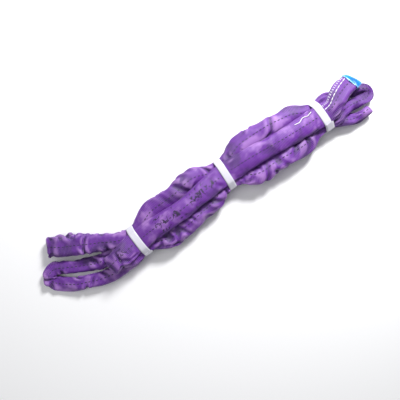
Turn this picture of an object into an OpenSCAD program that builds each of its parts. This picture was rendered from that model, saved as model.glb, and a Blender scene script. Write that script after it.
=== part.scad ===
// Tied bundle of an endless textile round sling: a woven tube sleeve round a core of parallel yarn,
// laid up in six runs, pinched by three bands, with three bights left free at each end.
// Millimetres. X runs along the bundle, Z is up, and Z = 0 is the surface that it lies on.

/* [Sleeve] */
// Flat width of the woven sleeve from fold to fold
sleeve_w = 40; // [36:1:42]
// Height of one run where it lies loose
run_t = 10; // [8:0.5:10]
// Thickness of the woven wall
wall_t = 1.2; // [0.8:0.1:1.6]

/* [Core] */
// Width of the yarn core as a share of the sleeve
core_share = 0.46; // [0.3:0.02:0.5]
// Height of the yarn core
core_t = 4.6; // [3:0.2:5]

/* [Thread] */
// Width of a line of stitches
thread_w = 1; // [0.6:0.1:1.4]
// Height of the stitches above the sleeve
thread_t = 0.4; // [0.2:0.1:0.5]

/* [Ties] */
// Width of the plastic band
tie_w = 13; // [12:1:18]
// Thickness of the band
tie_t = 0.8; // [0.6:0.1:0.8]
// Clear width inside a tie
tie_in_w = 59; // [59:1:61]
// Clear height inside a tie
tie_in_h = 38; // [38:0.5:40]
// Corner radius inside a tie
tie_in_r = 16; // [12:1:16]

/* [Label] */
// Width of the sewn label
label_w = 45; // [40:1:48]
// Length of label on each face of the bight
label_leg = 13; // [12:1:20]
// Thickness of the label
label_t = 0.7; // [0.4:0.1:0.8]

/* [Hidden] */

violet = [0.42, 0.20, 0.62];
yarn_white = [0.90, 0.89, 0.84];
thread_black = [0.10, 0.06, 0.14];
thread_white = [0.93, 0.93, 0.93];
band_white = [0.92, 0.93, 0.96];
label_blue = [0.05, 0.55, 0.88];

// Plan of the bundle: the ties and the middles of the two spans, [x, y, heading in degrees]
left_tie = [-152, -21, 6.5];
left_mid = [-60, -12, 8];
middle_tie = [32, 1, 2];
right_mid = [128, 2, 0];
right_tie = [223, 1, 4];
// Moves the finished bundle so that the middle of its footprint is the origin
to_centre = [1.1, -0.6, 0];

// The six runs of the lay-up, seen from the right end.
// Each cell is [side offset, height of centre, width, thickness] in the plane across the bundle.
TOP = 0;
BACK_UP = 1;
FRONT_UP = 2;
BACK_LOW = 3;
FRONT_LOW = 4;
BOTTOM = 5;
RUNS = [TOP, BACK_UP, FRONT_UP, BACK_LOW, FRONT_LOW, BOTTOM];
pinched_w = 27;
row_gap = 0.9;
tied_cells = [
    [0, 33.8, 38, 7.8],
    [14.2, 24.8, pinched_w, 8.6], [-14.2, 24.8, pinched_w, 8.6],
    [14.2, 14.9, pinched_w, 8.6], [-14.2, 14.9, pinched_w, 8.6],
    [0, 5.7, 38, 7.8]
];
function loose_z(row) = run_t / 2 + row * (run_t + row_gap);
loose_cells = [
    [0, loose_z(3), sleeve_w, run_t],
    [30, loose_z(2), sleeve_w, run_t], [-30, loose_z(2), sleeve_w, run_t],
    [28, loose_z(1), sleeve_w, run_t], [-28, loose_z(1), sleeve_w, run_t],
    [0, loose_z(0), sleeve_w, run_t]
];

// Lengths along the bundle
pinch_half = 11;  // a run keeps its pinched shape this far either side of a tie's middle
flare = 42;       // and has its loose shape this much further on
stub = 12;        // the tied runs reach this far past the middle of an outer tie
bight_out = 22;   // where a bight's own sleeve starts
bend_deg = 20;    // how far a span bends sideways each way
bend_gap = 1;     // free gap left between two sections at the end of a bend

// Small vector helpers
function unit(v) = v / norm(v);
function mix(a, b, k) = a + (b - a) * k;
function ease(k) = let (u = min(max(k, 0), 1)) u * u * (3 - 2 * u);
function heading(a) = [cos(a), sin(a), 0];
function left_of(a) = [-sin(a), cos(a), 0];
function backwards(list) = [for (i = [len(list) - 1:-1:0]) list[i]];
UP = [0, 0, 1];

// A frame is [centre, side, up, width, thickness], side x up pointing along the route.
// A sweep is a list of frames. A ring is the flattened section of one frame.
function ring(f, sides, dw, dt) = [
    for (i = [0:sides - 1])
        let (a = (i + 0.5) * 360 / sides, r = 1 / cos(180 / sides))
        f[0] + f[1] * (r * (f[3] - dw) / 2 * cos(a)) + f[2] * (r * (f[4] - dt) / 2 * sin(a))
];

// The bundle's own place and heading at a distance x along it
function leg_at(x) =
    x < left_mid[0] ? [left_tie, left_mid]
    : x < middle_tie[0] ? [left_mid, middle_tie]
    : x < right_mid[0] ? [middle_tie, right_mid]
    : [right_mid, right_tie];
function past(tie, x) = [x, tie[1] + (x - tie[0]) * tan(tie[2]), tie[2]];
function plan_at(x) =
    let (leg = leg_at(x), k = (x - leg[0][0]) / (leg[1][0] - leg[0][0]))
    k < 0 ? past(leg[0], x) : k > 1 ? past(leg[1], x) : mix(leg[0], leg[1], k);
function tie_distance(x) = min([for (t = [left_tie, middle_tie, right_tie]) abs(x - t[0])]);
function cell_at(run, x) =
    mix(tied_cells[run], loose_cells[run], ease((tie_distance(x) - pinch_half) / flare));
function frame_at(p, c, out = 0) = [
    [p[0], p[1], 0] + heading(p[2]) * out + left_of(p[2]) * c[0] + UP * c[1],
    left_of(p[2]), UP, c[2], c[3]
];

// A run stops short of a bend by enough for its outer edge to swing clear
function bend_room(run) =
    let (c = loose_cells[run]) bend_gap + (abs(c[0]) + c[2] / 2) * tan(bend_deg / 2);
function run_sweep(run, x0, x1, steps) =
    [for (i = [0:steps]) let (x = mix(x0, x1, i / steps)) frame_at(plan_at(x), cell_at(run, x))];
function left_run(run) = run_sweep(run, left_tie[0] - stub, left_mid[0] - bend_room(run), 6);
function centre_run(run) =
    run_sweep(run, left_mid[0] + bend_room(run), right_mid[0] - bend_room(run), 12);
function right_run(run) = run_sweep(run, right_mid[0] + bend_room(run), right_tie[0] + stub, 6);

// A bight starts and ends in a cell of its tie. The frame is turned so that side x up points
// out of the tie or back into it, with the sleeve the same way up (up) or turned over (over).
function left_out_up(run) = let (f = frame_at(left_tie, tied_cells[run], -bight_out))
    [f[0], -f[1], f[2], f[3], f[4]];
function left_in_over(run) = let (f = left_out_up(run)) [f[0], f[1], -f[2], f[3], f[4]];
function left_in_up(run) = frame_at(left_tie, tied_cells[run], -bight_out);
function right_out_up(run) = frame_at(right_tie, tied_cells[run], bight_out);
function right_in_over(run) = let (f = right_out_up(run)) [f[0], f[1], -f[2], f[3], f[4]];
function right_in_up(run) = let (f = right_out_up(run)) [f[0], -f[1], f[2], f[3], f[4]];

// Frames along stations [x, y, z, width, thickness]; over is -1 for a leg that lies upside down
function route(s, over = 1) = [
    for (i = [0:len(s) - 1])
        let (d = s[min(i + 1, len(s) - 1)] - s[max(i - 1, 0)])
        [[s[i][0], s[i][1], s[i][2]], unit([-d[1], d[0], 0]) * over, UP * over, s[i][3], s[i][4]]
];
// The run folds down over itself: the tip is [x, y, z of the lower leg, width, thickness, heading]
fold_apart = 10.6;
function fold_over(tip) = [
    for (a = [0:30:180])
        let (out = heading(tip[5]) * sin(a) + UP * cos(a))
        [
            [tip[0], tip[1], tip[2] + fold_apart / 2] + out * fold_apart / 2,
            left_of(tip[5]), out, tip[3], tip[4]
        ]
];
// The run swings round flat about a centre; spin is 1 anticlockwise and -1 clockwise from above
function turn_round(centre, radius, from, spin, w, t) = [
    for (a = [0:22.5:180])
        let (h = from + spin * a)
        [centre - left_of(h) * spin * radius, left_of(h), UP, w, t]
];

left_back_sweep = concat(
    [left_out_up(BACK_UP)],
    route([[-195, 3, 25, 31, 9], [-222, 16, 22, 35, 9.6], [-252, 30, 17.4, 37, 9.6]]),
    fold_over([-291, 47.5, 5.5, 36, 9.6, 155]),
    route([[-252, 31, 5.5, 36, 9.6], [-228, 19, 5, 34, 8.6], [-214, 9, 5, 34, 8.4], [-198, -4, 5, 35, 8.4]], -1),
    [left_in_over(BOTTOM)]
);
left_top_sweep = concat(
    [left_out_up(TOP)],
    route([[-188, -26, 34.4, 37, 8.2], [-200, -28, 35.2, 35, 8.4]]),
    fold_over([-212, -31, 24.8, 34, 8.4, 190]),
    route([[-200, -33, 25, 32, 8.4], [-188, -36, 25, 29, 8.4]], -1),
    [left_in_over(FRONT_UP)]
);
left_front_sweep = concat(
    [left_out_up(FRONT_LOW)],
    route([[-196, -45, 11.4, 27, 10], [-222, -48, 8.4, 27, 12], [-248, -43, 7, 27, 13], [-281, -31.5, 7, 27, 13]]),
    turn_round([-311, -1, 7], 14, 150, -1, 26, 13),
    route([[-278, -1, 7, 27, 12], [-242, -15, 7.6, 27, 12], [-222, -19.5, 11.4, 26, 11], [-208, -18, 15, 26, 9.6],
        [-194, -14, 15, 27, 9.2]]),
    [left_in_up(BACK_LOW)]
);
label_tip = [302, 25, 19.8, 38, 9.4, 33];
label_sweep = concat(
    [right_out_up(TOP)],
    route([[259, 12.5, 33.2, 37, 9], [277, 19.5, 30.4, 38, 9.4]]),
    fold_over(label_tip),
    route([[277, 20, 19.8, 36, 9.4], [260, 16, 22.8, 28, 9]], -1),
    [right_in_over(BACK_UP)]
);
right_front_sweep = concat(
    [right_out_up(FRONT_LOW)],
    route([[262, -26, 14.8, 23, 9.6], [278, -33.5, 15.4, 18, 10]]),
    fold_over([306, -33, 5.7, 18, 10, 6]),
    route([[282, -33.5, 5.6, 18, 9.6], [262, -20, 5.2, 26, 8.6]], -1),
    [right_in_over(BOTTOM)]
);
right_middle_sweep = concat(
    [right_out_up(FRONT_UP)],
    route([[262, -10.5, 23.4, 22, 9.6], [274, -11, 19.4, 20, 10.6], [290, -12.5, 12.2, 20, 11.6]]),
    turn_round([315, -2.5, 6.6], 10.5, 0, 1, 20, 12),
    route([[290, 9.5, 7.2, 20, 11], [264, 16.5, 11.8, 22, 9.2]]),
    [right_in_up(BACK_LOW)]
);

// A closed solid along a sweep
module swept_solid(sweep, sides) {
    n = len(sweep);
    walls = [
        for (i = [0:n - 2], j = [0:sides - 1])
            let (a = i * sides + j, b = i * sides + (j + 1) % sides)
            [a + sides, b + sides, b, a]
    ];
    start = [for (j = [0:sides - 1]) j];
    finish = [for (j = [sides - 1:-1:0]) (n - 1) * sides + j];
    polyhedron([for (f = sweep) each ring(f, sides, 0, 0)], concat(walls, [start], [finish]));
}

// The woven tube: an outer and an inner surface joined at its two cut ends
module sleeve_of(sweep) {
    sides = 12;
    n = len(sweep);
    inside = n * sides;
    outer = [for (f = sweep) each ring(f, sides, 0, 0)];
    inner = [for (f = sweep) each ring(f, sides, 2 * wall_t, 2 * wall_t)];
    walls = [
        for (i = [0:n - 2], j = [0:sides - 1])
            let (a = i * sides + j, b = i * sides + (j + 1) % sides)
            each [
                [a + sides, b + sides, b, a],
                [inside + a, inside + b, inside + b + sides, inside + a + sides]
            ]
    ];
    ends = [
        for (j = [0:sides - 1])
            let (k = (j + 1) % sides, e = (n - 1) * sides)
            each [[j, k, inside + k, inside + j], [e + k, e + j, inside + e + j, inside + e + k]]
    ];
    polyhedron(concat(outer, inner), concat(walls, ends));
}

module core_of(sweep) {
    swept_solid([for (f = sweep) [f[0], f[1], f[2], f[3] * core_share, core_t]], 8);
}

// A line of thread lying on the face of a run, offset sideways from the middle of the sleeve
function thread_on(sweep, offset = 0) = [
    for (f = sweep)
        [f[0] + f[1] * offset + f[2] * (f[4] / 2 + thread_t / 2 + 0.12), f[1], f[2], thread_w, thread_t]
];
module marker_of(sweep) {
    swept_solid(thread_on(sweep), 4);
}

module tie_profile(grow) {
    w = tie_in_w + 2 * grow;
    h = tie_in_h + 2 * grow;
    r = tie_in_r + grow;
    square([w - 2 * r, h], center = true);
    square([w, h - 2 * r], center = true);
    for (sx = [-1, 1], sy = [-1, 1])
        translate([sx * (w / 2 - r), sy * (h / 2 - r)]) circle(r = r, $fn = 96);
}

// One band: a closed loop, and the welded lap of its free end on the front side
module tie(place, lap_low, lap_high, lap_slip) {
    translate([place[0], place[1], tie_t + tie_in_h / 2]) rotate([0, 0, place[2]]) rotate([90, 0, 90]) {
        translate([0, 0, -tie_w / 2])
        linear_extrude(tie_w)
        difference() {
            tie_profile(tie_t);
            tie_profile(0);
        }
        translate([0, 0, -tie_w / 2 + lap_slip])
        linear_extrude(tie_w)
        intersection() {
            difference() {
                tie_profile(2 * tie_t);
                tie_profile(tie_t);
            }
            translate([-tie_in_w, lap_low]) square([tie_in_w, lap_high - lap_low]);
        }
    }
}

// The label is a strip bent round the tip of its bight, clear of the thread
module label_strip() {
    lift = label_tip[4] / 2 + thread_t + label_t / 2 + 0.2;
    back = heading(label_tip[5]) * -label_leg;
    bent = [for (f = fold_over(label_tip)) [f[0] + f[2] * lift, f[1], f[2], label_w, label_t]];
    first = bent[0];
    last = bent[len(bent) - 1];
    swept_solid(concat(
        [[first[0] + back, first[1], first[2], first[3], first[4]]],
        bent,
        [[last[0] + back, last[1], last[2], last[3], last[4]]]
    ), 4);
}

// Rows of stitches that close the ends of the sleeve, on the upper leg of the label bight
join_rows = [-4.4, -2.4, 2.4, 4.4];
module join_rows_of_stitches() {
    for (row = join_rows)
        swept_solid(thread_on([for (i = [0:2]) label_sweep[i]], row), 4);
}

// A loose end of the joining thread, lying on the top run beside the outer tie
tail = [[172, 10], [181, 9], [190, 13.5], [199, 11.5], [208, 14.5]];
module loose_thread() {
    swept_solid([
        for (i = [0:len(tail) - 1])
            let (
                d = tail[min(i + 1, len(tail) - 1)] - tail[max(i - 1, 0)],
                c = cell_at(TOP, tail[i][0]),
                side = unit([-d[1], d[0], 0])
            )
            [[tail[i][0], tail[i][1] + 0.5, c[1] + c[3] / 2 + thread_t * 1.6 + 0.3], side, UP, thread_w, thread_t]
    ], 4);
}

module tie_left() color(band_white) tie(left_tie, -14, 8, 1);
module tie_middle() color(band_white) tie(middle_tie, -13, 0, -0.8);
module tie_right() color(band_white) tie(right_tie, -15, 15, 2);

module sleeve_left() color(violet) for (run = RUNS) sleeve_of(left_run(run));
module sleeve_centre() color(violet) for (run = RUNS) sleeve_of(centre_run(run));
module sleeve_right() color(violet) for (run = RUNS) sleeve_of(right_run(run));
module core_left() color(yarn_white) for (run = RUNS) core_of(left_run(run));
module core_centre() color(yarn_white) for (run = RUNS) core_of(centre_run(run));
module core_right() color(yarn_white) for (run = RUNS) core_of(right_run(run));
module marker_thread_left() color(thread_black) for (run = RUNS) marker_of(left_run(run));
module marker_thread_centre() color(thread_black) for (run = RUNS) marker_of(centre_run(run));
module marker_thread_right() color(thread_black) for (run = RUNS) marker_of(right_run(run));

module sleeve_left_back_bight() color(violet) sleeve_of(left_back_sweep);
module sleeve_left_top_bight() color(violet) sleeve_of(left_top_sweep);
module sleeve_left_front_bight() color(violet) sleeve_of(left_front_sweep);
module core_left_back_bight() color(yarn_white) core_of(left_back_sweep);
module core_left_top_bight() color(yarn_white) core_of(left_top_sweep);
module core_left_front_bight() color(yarn_white) core_of(left_front_sweep);
module marker_thread_left_back_bight() color(thread_black) marker_of(left_back_sweep);
module marker_thread_left_top_bight() color(thread_black) marker_of(left_top_sweep);
module marker_thread_left_front_bight() color(thread_black) marker_of(left_front_sweep);

module sleeve_label_bight() color(violet) sleeve_of(label_sweep);
module sleeve_right_front_bight() color(violet) sleeve_of(right_front_sweep);
module sleeve_right_middle_bight() color(violet) sleeve_of(right_middle_sweep);
module core_label_bight() color(yarn_white) core_of(label_sweep);
module core_right_front_bight() color(yarn_white) core_of(right_front_sweep);
module core_right_middle_bight() color(yarn_white) core_of(right_middle_sweep);
module marker_thread_label_bight() color(thread_black) marker_of(label_sweep);
module marker_thread_right_front_bight() color(thread_black) marker_of(right_front_sweep);
module marker_thread_right_middle_bight() color(thread_black) marker_of(right_middle_sweep);

module label() color(label_blue) label_strip();
module join_stitching() color(thread_white) join_rows_of_stitches();
module join_thread_tail() color(thread_white) loose_thread();

translate(to_centre) tie_left();
translate(to_centre) tie_middle();
translate(to_centre) tie_right();
translate(to_centre) sleeve_left();
translate(to_centre) sleeve_centre();
translate(to_centre) sleeve_right();
translate(to_centre) core_left();
translate(to_centre) core_centre();
translate(to_centre) core_right();
translate(to_centre) marker_thread_left();
translate(to_centre) marker_thread_centre();
translate(to_centre) marker_thread_right();
translate(to_centre) sleeve_left_back_bight();
translate(to_centre) sleeve_left_top_bight();
translate(to_centre) sleeve_left_front_bight();
translate(to_centre) core_left_back_bight();
translate(to_centre) core_left_top_bight();
translate(to_centre) core_left_front_bight();
translate(to_centre) marker_thread_left_back_bight();
translate(to_centre) marker_thread_left_top_bight();
translate(to_centre) marker_thread_left_front_bight();
translate(to_centre) sleeve_label_bight();
translate(to_centre) sleeve_right_front_bight();
translate(to_centre) sleeve_right_middle_bight();
translate(to_centre) core_label_bight();
translate(to_centre) core_right_front_bight();
translate(to_centre) core_right_middle_bight();
translate(to_centre) marker_thread_label_bight();
translate(to_centre) marker_thread_right_front_bight();
translate(to_centre) marker_thread_right_middle_bight();
translate(to_centre) label();
translate(to_centre) join_stitching();
translate(to_centre) join_thread_tail();
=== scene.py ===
"""Cloth, yarn, thread, strapping and label of a tied round sling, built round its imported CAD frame."""

import math

import bpy
import numpy as np
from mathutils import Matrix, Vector


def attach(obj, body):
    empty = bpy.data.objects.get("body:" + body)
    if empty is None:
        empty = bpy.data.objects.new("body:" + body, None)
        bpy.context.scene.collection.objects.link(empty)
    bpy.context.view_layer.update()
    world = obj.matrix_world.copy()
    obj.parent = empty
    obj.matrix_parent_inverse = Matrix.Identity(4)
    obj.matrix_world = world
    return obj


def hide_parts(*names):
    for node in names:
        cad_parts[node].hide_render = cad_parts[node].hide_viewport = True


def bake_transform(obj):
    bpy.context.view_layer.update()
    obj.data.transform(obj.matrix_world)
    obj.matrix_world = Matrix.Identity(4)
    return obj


bl_info = {
    "name": "Tied round sling",
    "version": (1, 0, 0),
    "blender": (4, 5, 0),
    "location": "View3D > Sidebar > Sling",
    "description": "Builds the cloth, ties, label and thread of a folded round sling",
    "category": "Object",
}

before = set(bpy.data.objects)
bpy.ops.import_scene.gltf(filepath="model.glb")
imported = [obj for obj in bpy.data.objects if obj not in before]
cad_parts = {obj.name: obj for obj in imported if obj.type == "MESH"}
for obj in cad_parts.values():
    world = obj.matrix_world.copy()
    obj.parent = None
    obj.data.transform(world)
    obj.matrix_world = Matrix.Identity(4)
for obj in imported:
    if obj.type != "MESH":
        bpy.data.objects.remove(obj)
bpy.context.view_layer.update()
MM = 0.001
UP = np.array([0.0, 0.0, 1.0])

# ---------------------------------------------------------------------------
# Lay-up of the sling, in millimetres. Ties, loop tips and turns are where the CAD source has them;
# the runs between are a millimetre or two off it, to suit how they settle
# ---------------------------------------------------------------------------

TO_CENTRE = np.array([1.1, -0.6, 0.0])
LEFT_TIE, LEFT_MID, MIDDLE_TIE = (-152, -21, 6.5), (-60, -12, 8), (32, 1, 2)
RIGHT_MID, RIGHT_TIE = (128, 2, 0), (223, 1, 4)
TIES = {"left": LEFT_TIE, "middle": MIDDLE_TIE, "right": RIGHT_TIE}
TOP, BACK_UP, FRONT_UP, BACK_LOW, FRONT_LOW, BOTTOM = range(6)
# side offset, height, width, thickness of each run: under a tie, and loose in the middle of a span
TIED = np.array(
    [
        [0, 33.8, 38, 7.8],
        [14.2, 24.8, 27, 8.6],
        [-14.2, 24.8, 27, 8.6],
        [14.2, 14.9, 27, 8.6],
        [-14.2, 14.9, 27, 8.6],
        [0, 5.7, 38, 7.8],
    ]
)
LOOSE = np.array(
    [
        [0, 36.5, 40, 8.5],
        [31, 27.5, 38, 9.5],
        [-31, 27.5, 38, 9.5],
        [29, 16.5, 38, 9],
        [-29, 16.5, 38, 9],
        [0, 6, 38, 9],
    ]
)
BIGHT_OUT = 22  # where an end loop starts, beyond its tie
TIED_HALF, FLARE = 9, 42  # a run is tied this far from a tie, and loose this much further on
FOLD_RADIUS = 5.3
LABEL_HEADING = 33
SHAKE_SEED, CREASE_SEED = 7, 21
SIM_SCALE = 0.01  # cloth units to a millimetre, which suits the solver
SETTLE_FRAMES = 24
GRIPPED = 8.5  # the sleeve is held fast this far from a tie
TIE_PATHS = 18  # six runs through three ties

CAMERA_PLACE = (-0.0258, -0.0161, 0.70)
CAMERA_TURN = (0.0, 0.0, math.radians(-31))
CAMERA_ANGLE = math.radians(53.7)
# name, place, size, power
LIGHTS = (
    ("window_light", (0.62, 0.45, 0.68), (0.24, 0.24), 16),
    ("soft_fill", (-0.55, 0.35, 1.3), (0.9, 0.9), 5),
)
# loose end of joining thread
TAIL_ROUTE = ((172, 10.5), (181, 9.5), (190, 14), (199, 12), (208, 15))
# place on the middle line, pattern seed, half length and half width in metres
INK_PATCHES = ((-24, 3.0, (0.040, 0.0150)), (-92, 9.0, (0.030, 0.0145)), (-190, 5.0, (0.016, 0.013)))
# rows of joining stitches: share of the girth at the tie and at the tip, stitch, gap and width
JOIN_ROWS = ((0.225, 0.17, 7.0, 0.4, 1.2), (0.17, 0.115, 2.6, 1.6, 0.75), (0.145, 0.09, 2.6, 1.6, 0.75))
# overlapped ends of a tie: from and to as shares of its round, width, shift and slant
OVERLAPS = {"right": ((0.335, 0.54, 15.0, 1.8, -0.8),), "left": ((0.39, 0.57, 13.0, 1.8, 0.6),)}


def heading(degrees):
    a = math.radians(degrees)
    return np.array([math.cos(a), math.sin(a), 0.0])


def left_of(degrees):
    a = math.radians(degrees)
    return np.array([-math.sin(a), math.cos(a), 0.0])


def ease(k):
    k = np.clip(k, 0, 1)
    return k * k * (3 - 2 * k)


def plan_at(x):
    """Place and heading of the bundle's middle line at a distance x along it."""
    points = [LEFT_TIE, LEFT_MID, MIDDLE_TIE, RIGHT_MID, RIGHT_TIE]
    for a, b in zip(points, points[1:]):
        if a[0] <= x <= b[0]:
            k = (x - a[0]) / (b[0] - a[0])
            return np.array(a) * (1 - k) + np.array(b) * k
    tie = points[0] if x < points[0][0] else points[-1]
    return np.array([x, tie[1] + (x - tie[0]) * math.tan(math.radians(tie[2])), tie[2]])


def straight(run, facing, slack):
    """Stations of one run between the outer ties. A station is x, y, z, width, thickness, normal, slack."""
    ends = LEFT_TIE[0] - BIGHT_OUT, RIGHT_TIE[0] + BIGHT_OUT
    xs = np.linspace(*ends, 70)
    out = []
    for x in xs:
        p = plan_at(x)
        gap = min(abs(x - t[0]) for t in TIES.values())
        cell = TIED[run] + (LOOSE[run] - TIED[run]) * ease((gap - TIED_HALF) / FLARE)
        at = np.array([p[0], p[1], 0]) + left_of(p[2]) * cell[0] + UP * cell[1]
        out.append([*at, cell[2], cell[3], 0, 0, facing, slack])
    return out


def leg(stations, facing, slack):
    return [[*s, 0, 0, facing, slack] for s in stations]


def fold(tip, facing, slack, upward=False):
    """The run folds over on itself: tip is x, y, z of the lower leg, width, thickness, heading outwards."""
    out = []
    for a in range(0, 181, 20):
        away = heading(tip[5]) * math.sin(math.radians(a)) + UP * math.cos(math.radians(a))
        at = np.array([tip[0], tip[1], tip[2] + FOLD_RADIUS]) + away * FOLD_RADIUS
        out.append([*at, tip[3], tip[4], *(away * facing), slack])
    return out[::-1] if upward else out


def turn(centre, radius, start, spin, size, facing, slack, backwards=False):
    """The run swings round flat, keeping the same face up."""
    out = []
    for a in np.linspace(0, 180, 13):
        h = start + spin * a
        at = np.array(centre) - left_of(h) * spin * radius
        out.append([*at, *size, 0, 0, facing, slack])
    return out[::-1] if backwards else out


def lay_up():
    """The whole closed route of the sleeve, once round, as named stretches."""
    return [
        ("top_run", straight(TOP, 1, 1.08)),
        (
            "label_bight",
            leg([[259, 12.5, 33.2, 37, 9], [277, 19.5, 30.4, 38, 9.4]], 1, 1.02)
            + fold([302, 25, 19.8, 38, 9.4, 33], 1, 1.0)
            + leg([[277, 20, 19.8, 36, 9.4], [260, 16, 22.8, 28, 9]], -1, 1.0),
        ),
        ("back_upper_run", straight(BACK_UP, -1, 1.14)[::-1]),
        (
            "left_back_bight",
            leg([[-195, 3, 25, 31, 9], [-222, 16, 22, 35, 9.6], [-252, 30, 17.4, 37, 9.6]], -1, 1.22)
            + fold([-291, 47.5, 5.5, 36, 9.6, 155], -1, 1.22)
            + leg(
                [[-252, 31, 5.5, 36, 9.6], [-228, 19, 5, 34, 8.6], [-214, 9, 5, 34, 8.4], [-198, -4, 5, 35, 8.4]],
                1,
                1.2,
            ),
        ),
        ("bottom_run", straight(BOTTOM, 1, 1.03)),
        (
            "right_front_bight",
            leg([[262, -20, 5.2, 26, 8.6], [282, -33.5, 5.6, 18, 9.6]], 1, 1.1)
            + fold([306, -33, 5.7, 18, 10, 6], -1, 1.1, upward=True)
            + leg([[278, -33.5, 15.4, 18, 10], [262, -26, 14.8, 23, 9.6]], -1, 1.1),
        ),
        ("front_lower_run", straight(FRONT_LOW, -1, 1.14)[::-1]),
        (
            "left_front_bight",
            leg(
                [[-196, -45, 11.4, 27, 10], [-222, -48, 8.4, 27, 12], [-248, -43, 7, 27, 13], [-281, -31.5, 7, 27, 13]],
                -1,
                1.18,
            )
            + turn([-311, -1, 7], 14, 150, -1, (26, 13), -1, 1.18)
            + leg(
                [
                    [-278, -1, 7, 27, 12],
                    [-242, -15, 7.6, 27, 12],
                    [-222, -19.5, 11.4, 26, 11],
                    [-208, -18, 15, 26, 9.6],
                    [-194, -14, 15, 27, 9.2],
                ],
                -1,
                1.18,
            ),
        ),
        ("back_lower_run", straight(BACK_LOW, -1, 1.06)),
        (
            "right_middle_bight",
            leg([[264, 16.5, 11.8, 22, 9.2], [290, 9.5, 7.2, 20, 11]], -1, 1.08)
            + turn([315, -2.5, 6.6], 10.5, 0, 1, (20, 12), -1, 1.08, backwards=True)
            + leg([[290, -12.5, 12.2, 20, 11.6], [274, -11, 19.4, 20, 10.6], [262, -10.5, 23.4, 22, 9.6]], -1, 1.08),
        ),
        ("front_upper_run", straight(FRONT_UP, -1, 1.14)[::-1]),
        (
            "left_top_bight",
            leg([[-188, -36, 25, 29, 8.4], [-200, -33, 25, 32, 8.4]], -1, 1.12)
            + fold([-212, -31, 24.8, 34, 8.4, 190], 1, 1.12, upward=True)
            + leg([[-200, -28, 35.2, 35, 8.4], [-188, -26, 34.4, 37, 8.2]], 1, 1.12),
        ),
    ]


def sling_sizes():
    return bpy.context.scene.sling_sizes


def once_round(values, steps):
    """Evenly spaced rows of a closed table whose first three columns are a place."""
    closed = np.vstack([values, values[:1]])
    along = np.r_[0, np.cumsum(np.linalg.norm(np.diff(closed[:, :3], axis=0), axis=1))]
    count = int(round(along[-1] / steps))
    at = np.linspace(0, along[-1], count, endpoint=False)
    rows = np.stack([np.interp(at, along, closed[:, i]) for i in range(values.shape[1])], 1)
    return rows, at, along


def smoothed(values, times):
    for _ in range(times):
        values = (np.roll(values, 1, 0) + 2 * values + np.roll(values, -1, 0)) / 4
    return values


def nearest_tie(places):
    """Distance of each place from the closest tie, along the bundle."""
    return np.min([np.abs((places[:, :2] - np.array(t[:2])) @ heading(t[2])[:2]) + 1e3 * (
        np.linalg.norm(places[:, :2] - np.array(t[:2]), axis=1) > 45
    ) for t in TIES.values()], axis=0)


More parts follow.
